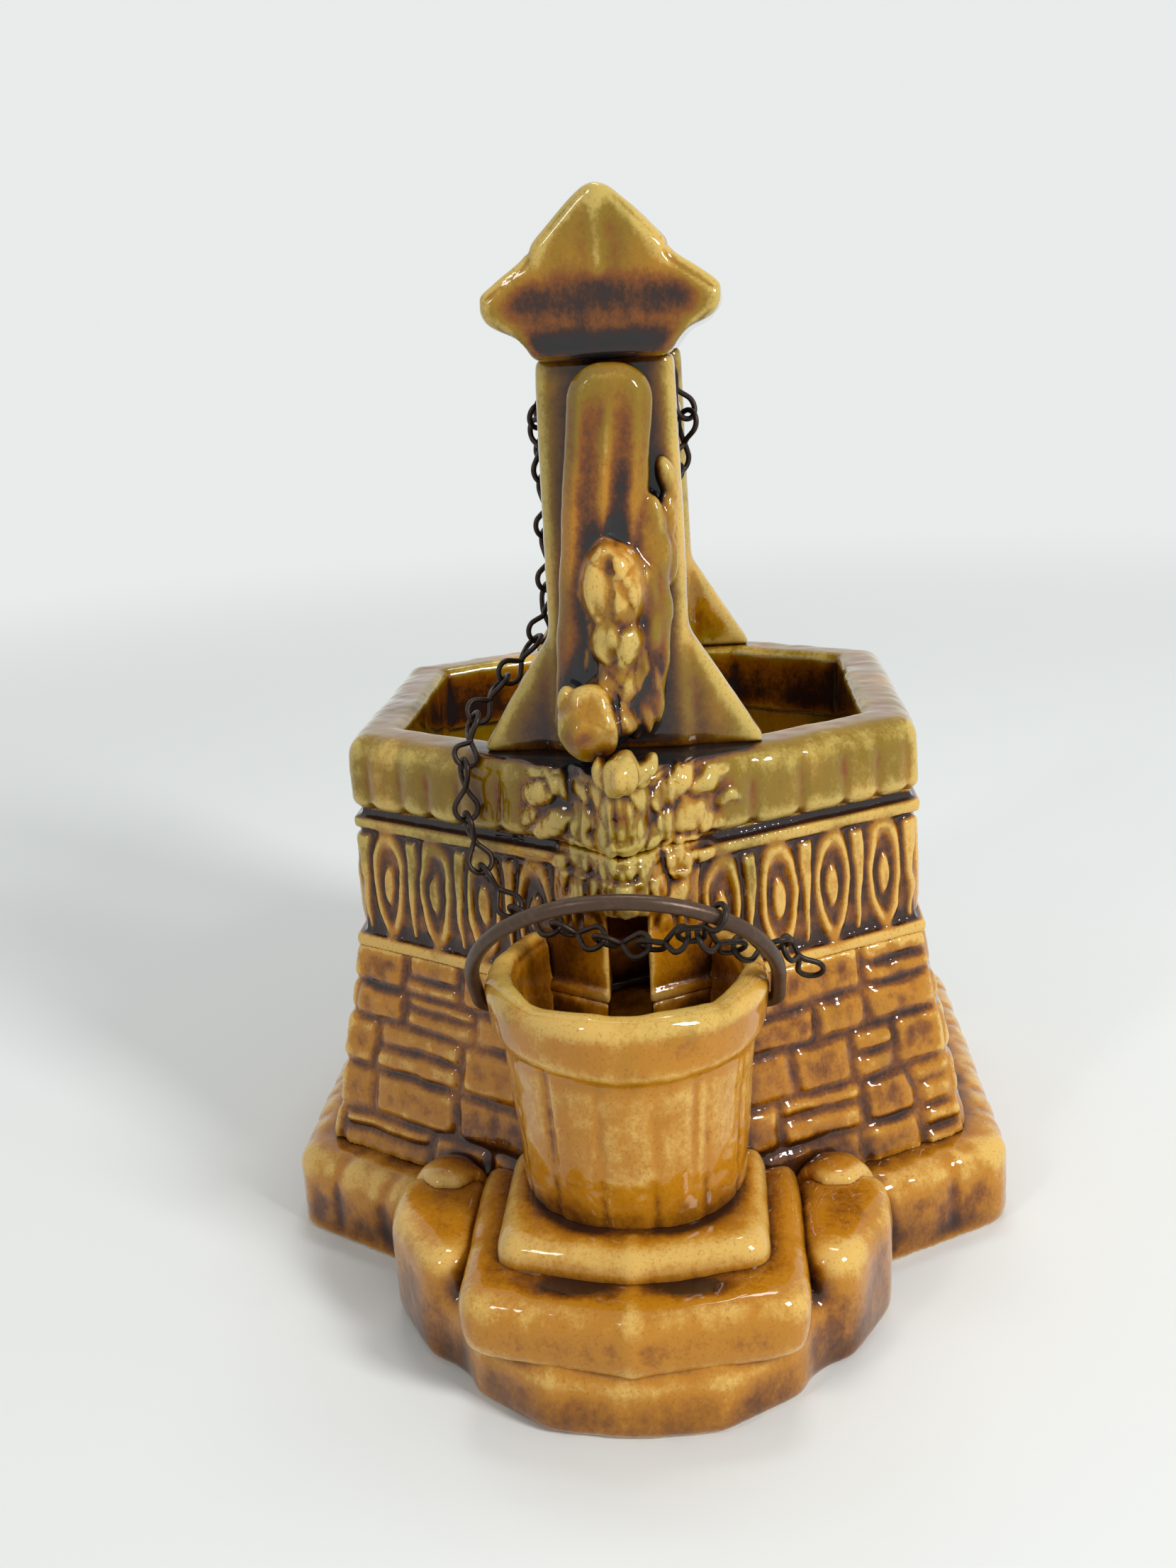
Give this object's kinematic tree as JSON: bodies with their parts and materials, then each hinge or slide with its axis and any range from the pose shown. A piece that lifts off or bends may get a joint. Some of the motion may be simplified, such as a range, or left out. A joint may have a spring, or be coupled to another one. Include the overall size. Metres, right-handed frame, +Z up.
{
  "type": "wishing well planter",
  "caption": "Glazed earthenware planter shaped as a six-sided wishing well with roof, windlass and crank, a bucket with a wire bail, and a jack chain.",
  "frame": {"origin": "the middle of the six-sided plinth's flat underside, on the floor", "axes": "+X to the right seen from the bucket's side, -Y towards the bucket, +Z up"},
  "size_m": [0.1254, 0.1624, 0.1715],
  "materials": {
    "glaze": "gloss",
    "bail_wire": "satin",
    "chain_wire": "satin"
  },
  "bodies": {
    "planter": {"plinth": "glaze", "stone_wall": "glaze", "frieze_band": "glaze", "coping": "glaze", "front_post": "glaze", "back_post": "glaze", "front_left_brace": "glaze", "front_right_brace": "glaze", "back_left_brace": "glaze", "back_right_brace": "glaze", "roof": "glaze", "windlass": "glaze", "crank_arm": "glaze", "crank_handle": "glaze", "crank_vine": "glaze", "rim_vine": "glaze", "front_rock": "glaze", "left_rock": "glaze", "right_rock": "glaze", "left_pebble": "glaze", "right_pebble": "glaze", "lower_step": "glaze", "upper_step": "glaze", "bucket": "glaze", "chain_link_01": "chain_wire", "chain_link_02": "chain_wire", "chain_link_03": "chain_wire", "chain_link_04": "chain_wire", "chain_link_05": "chain_wire", "chain_link_06": "chain_wire", "chain_link_07": "chain_wire", "chain_link_08": "chain_wire", "chain_link_09": "chain_wire", "chain_link_10": "chain_wire"},
    "bail": {"bail": "bail_wire"},
    "chain_link_11": {"chain_link_11": "chain_wire"},
    "chain_link_12": {"chain_link_12": "chain_wire"},
    "chain_link_13": {"chain_link_13": "chain_wire"},
    "chain_link_14": {"chain_link_14": "chain_wire"},
    "chain_link_15": {"chain_link_15": "chain_wire"},
    "chain_link_16": {"chain_link_16": "chain_wire"},
    "chain_link_17": {"chain_link_17": "chain_wire"},
    "chain_link_18": {"chain_link_18": "chain_wire"},
    "chain_link_19": {"chain_link_19": "chain_wire"},
    "chain_link_20": {"chain_link_20": "chain_wire"},
    "chain_link_21": {"chain_link_21": "chain_wire"},
    "chain_link_22": {"chain_link_22": "chain_wire"},
    "chain_link_23": {"chain_link_23": "chain_wire"},
    "chain_link_24": {"chain_link_24": "chain_wire"},
    "chain_link_25": {"chain_link_25": "chain_wire"},
    "chain_link_26": {"chain_link_26": "chain_wire"},
    "chain_link_27": {"chain_link_27": "chain_wire"}
  },
  "joints": [
    {"name": "bail_swing", "type": "hinge", "parent": "planter", "child": "bail", "pos_m": [0, -0.059, 0.054], "axis": [1, 0, 0], "range_deg": [-10, 10]},
    {"name": "chain_swing", "type": "hinge", "parent": "planter", "child": "chain_link_11", "pos_m": [-0.01118, -0.02651, 0.12985], "axis": [-0.3223, -0.2506, -0.9129], "range_deg": [-8, 8]},
    {"name": "link_12_bow", "type": "hinge", "parent": "chain_link_11", "child": "chain_link_12", "pos_m": [-0.01149, -0.02623, 0.12126], "axis": [-0.7894, -0.6139, 0], "range_deg": [-4, 4]},
    {"name": "link_13_bow", "type": "hinge", "parent": "chain_link_12", "child": "chain_link_13", "pos_m": [-0.01173, -0.02641, 0.11267], "axis": [-0.7894, -0.6139, 0], "range_deg": [-5.03, 5.03]},
    {"name": "link_14_bow", "type": "hinge", "parent": "chain_link_13", "child": "chain_link_14", "pos_m": [-0.01386, -0.02754, 0.10441], "axis": [-0.7894, -0.6139, 0], "range_deg": [-2.62, 2.62]},
    {"name": "link_15_bow", "type": "hinge", "parent": "chain_link_14", "child": "chain_link_15", "pos_m": [-0.01928, -0.0312, 0.09882], "axis": [-0.7894, -0.6139, 0], "range_deg": [-2.07, 2.07]},
    {"name": "link_16_sway", "type": "hinge", "parent": "planter", "child": "chain_link_16", "pos_m": [-0.02391, -0.03641, 0.09379], "axis": [-0.5, -0.866, 0], "range_deg": [-3, 3]},
    {"name": "link_17_sway", "type": "hinge", "parent": "chain_link_16", "child": "chain_link_17", "pos_m": [-0.02506, -0.04278, 0.08813], "axis": [-0.5, -0.866, 0], "range_deg": [-3.41, 3.41]},
    {"name": "link_18_sway", "type": "hinge", "parent": "chain_link_17", "child": "chain_link_18", "pos_m": [-0.02505, -0.04448, 0.0797], "axis": [-0.5, -0.866, 0], "range_deg": [-1.64, 1.64]},
    {"name": "link_19_fold", "type": "hinge", "parent": "planter", "child": "chain_link_19", "pos_m": [-0.0227, -0.04725, 0.0719], "axis": [1, 0, 0], "range_deg": [-10.1, 10.1]},
    {"name": "link_20_fold", "type": "hinge", "parent": "chain_link_19", "child": "chain_link_20", "pos_m": [-0.01767, -0.05117, 0.06614], "axis": [1, 0, 0], "range_deg": [-12.4, 12.4]},
    {"name": "link_21_fold", "type": "hinge", "parent": "chain_link_20", "child": "chain_link_21", "pos_m": [-0.01062, -0.05604, 0.0654], "axis": [1, 0, 0], "range_deg": [-1.3, 1.3]},
    {"name": "link_22_fold", "type": "hinge", "parent": "chain_link_21", "child": "chain_link_22", "pos_m": [-0.00362, -0.06103, 0.06519], "axis": [1, 0, 0], "range_deg": [-2.6, 2.6]},
    {"name": "link_23_fold", "type": "hinge", "parent": "chain_link_22", "child": "chain_link_23", "pos_m": [0.00339, -0.06593, 0.06611], "axis": [1, 0, 0], "range_deg": [-5.5, 5.5]},
    {"name": "bail_link_turn", "type": "hinge", "parent": "bail", "child": "chain_link_24", "pos_m": [0.01391, -0.07464, 0.07402], "axis": [-0.788, -0.379, 0.4851], "range_deg": [-10.2, 10.2]},
    {"name": "link_25_swing", "type": "hinge", "parent": "chain_link_24", "child": "chain_link_25", "pos_m": [0.01149, -0.07146, 0.06985], "axis": [0.7186, -0.6954, 0], "range_deg": [0, 5]},
    {"name": "link_26_swing", "type": "hinge", "parent": "chain_link_25", "child": "chain_link_26", "pos_m": [0.01666, -0.06611, 0.06554], "axis": [0.5682, -0.8229, 0], "range_deg": [-1, 5]},
    {"name": "link_27_swing", "type": "hinge", "parent": "chain_link_26", "child": "chain_link_27", "pos_m": [0.02363, -0.0613, 0.06405], "axis": [0, 1, 0], "range_deg": [-1, 4]}
  ],
  "couplings": [
    {"joint": "link_13_bow", "follows": "link_12_bow", "ratio": -1.232},
    {"joint": "link_14_bow", "follows": "link_12_bow", "ratio": -0.631},
    {"joint": "link_15_bow", "follows": "link_12_bow", "ratio": 0.492},
    {"joint": "link_17_sway", "follows": "link_16_sway", "ratio": -1.103},
    {"joint": "link_18_sway", "follows": "link_16_sway", "ratio": -0.512},
    {"joint": "link_19_fold", "follows": "bail_swing", "ratio": -0.99},
    {"joint": "link_20_fold", "follows": "bail_swing", "ratio": 1.22},
    {"joint": "link_21_fold", "follows": "bail_swing", "ratio": 0.11},
    {"joint": "link_22_fold", "follows": "bail_swing", "ratio": 0.24},
    {"joint": "link_23_fold", "follows": "bail_swing", "ratio": 0.53},
    {"joint": "bail_link_turn", "follows": "bail_swing", "ratio": -1}
  ]
}
